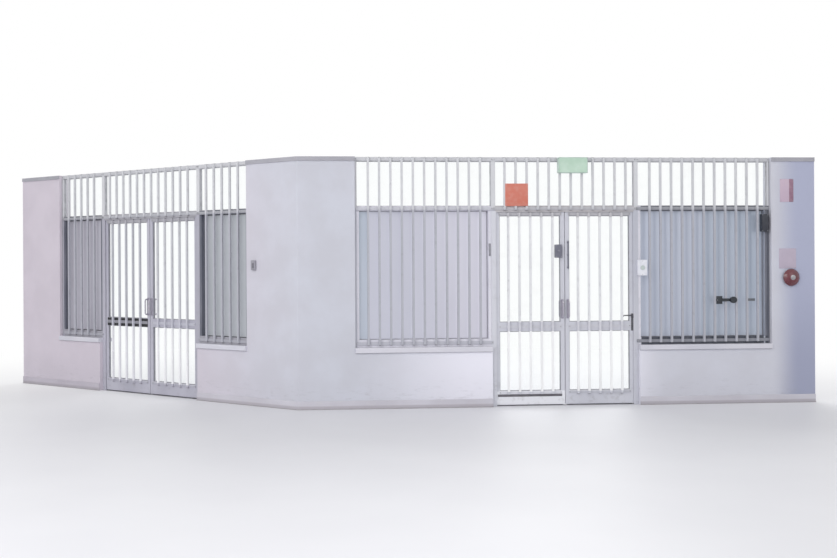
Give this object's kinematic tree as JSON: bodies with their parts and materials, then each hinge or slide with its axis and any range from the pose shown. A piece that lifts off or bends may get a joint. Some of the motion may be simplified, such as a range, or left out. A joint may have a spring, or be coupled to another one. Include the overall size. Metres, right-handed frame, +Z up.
{
  "type": "supermarket entrance front",
  "caption": "Angled interior shopfront wall of a supermarket hall: glazed bays with hinged double doors, barred windows, transom lights and rendered piers.",
  "frame": {"origin": "on the floor, in the middle of the corner pier's mitre between the two bays", "axes": "+X along the right bay as seen from the room, +Y out of the building, +Z up"},
  "size_m": [10.0796, 3.9115, 3],
  "materials": {
    "rendered_wall": "smooth painted render, matt",
    "painted_board": "satin white paint",
    "coated_frame": "light grey powder coat, satin",
    "grey_frame": "dark grey powder coat, satin",
    "clear_glass": "clear float glass",
    "obscured_glass": "translucent grey film on glass",
    "bar_metal": "dull square tube",
    "hinge_metal": "plain steel",
    "handle_dark": "dark satin coat",
    "sign_green": "bare translucent green face",
    "bell_red": "glossy red",
    "switch_grey": "matt",
    "box_white": "matt",
    "box_black": "matt"
  },
  "bodies": {
    "front": {"corner_pier": "rendered_wall", "left_pier": "rendered_wall", "right_pier": "rendered_wall", "left_bay_left_sill_wall": "rendered_wall", "left_bay_right_sill_wall": "rendered_wall", "right_bay_left_sill_wall": "rendered_wall", "right_bay_right_sill_wall": "rendered_wall", "left_bay_sill_boards": "painted_board", "right_bay_sill_boards": "painted_board", "left_skirting": "painted_board", "corner_skirting": "painted_board", "right_skirting": "painted_board", "ceiling_trims": "coated_frame", "left_bay_posts": "coated_frame", "right_bay_posts": "coated_frame", "left_bay_rails": "coated_frame", "right_bay_rails": "coated_frame", "left_bay_transom_lights": "clear_glass", "right_bay_transom_lights": "clear_glass", "left_bay_window_frames": "grey_frame", "right_bay_window_frames": "grey_frame", "left_bay_window_panes": "obscured_glass", "right_bay_window_panes": "obscured_glass", "left_bay_bars": "bar_metal", "right_bay_bars": "bar_metal", "left_bay_hinges": "hinge_metal", "right_bay_hinges": "hinge_metal", "exit_light": "sign_green", "call_point": "bell_red", "door_switch": "switch_grey", "door_release": "box_white", "window_bolt": "handle_dark", "junction_box": "box_black"},
    "right_bay_left_door": {"right_bay_left_leaf": "coated_frame", "right_bay_left_leaf_glass": "clear_glass", "right_bay_left_leaf_bars": "bar_metal", "right_bay_left_leaf_handles": "handle_dark"},
    "right_bay_right_door": {"right_bay_right_leaf": "coated_frame", "right_bay_right_leaf_glass": "clear_glass", "right_bay_right_leaf_bars": "bar_metal", "right_bay_right_leaf_handles": "handle_dark"},
    "left_bay_right_door": {"left_bay_right_leaf": "coated_frame", "left_bay_right_leaf_glass": "clear_glass", "left_bay_right_leaf_bars": "bar_metal", "left_bay_right_leaf_handles": "handle_dark"},
    "left_bay_left_door": {"left_bay_left_leaf": "coated_frame", "left_bay_left_leaf_glass": "clear_glass", "left_bay_left_leaf_bars": "bar_metal", "left_bay_left_leaf_handles": "handle_dark"}
  },
  "joints": [
    {"name": "right_bay_left_hinge", "type": "hinge", "parent": "front", "child": "right_bay_left_door", "pos_m": [2.36108, 0.018, 0], "axis": [0, 0, 1], "range_deg": [0, 90]},
    {"name": "right_bay_right_hinge", "type": "hinge", "parent": "front", "child": "right_bay_right_door", "pos_m": [4.07608, 0.018, 0], "axis": [0, 0, -1], "range_deg": [0, 90]},
    {"name": "left_bay_right_hinge", "type": "hinge", "parent": "front", "child": "left_bay_right_door", "pos_m": [-1.1689, 1.19436, 0], "axis": [0, 0, -1], "range_deg": [0, 90]},
    {"name": "left_bay_left_hinge", "type": "hinge", "parent": "front", "child": "left_bay_left_door", "pos_m": [-2.41695, 2.4424, 0], "axis": [0, 0, 1], "range_deg": [0, 90]}
  ]
}
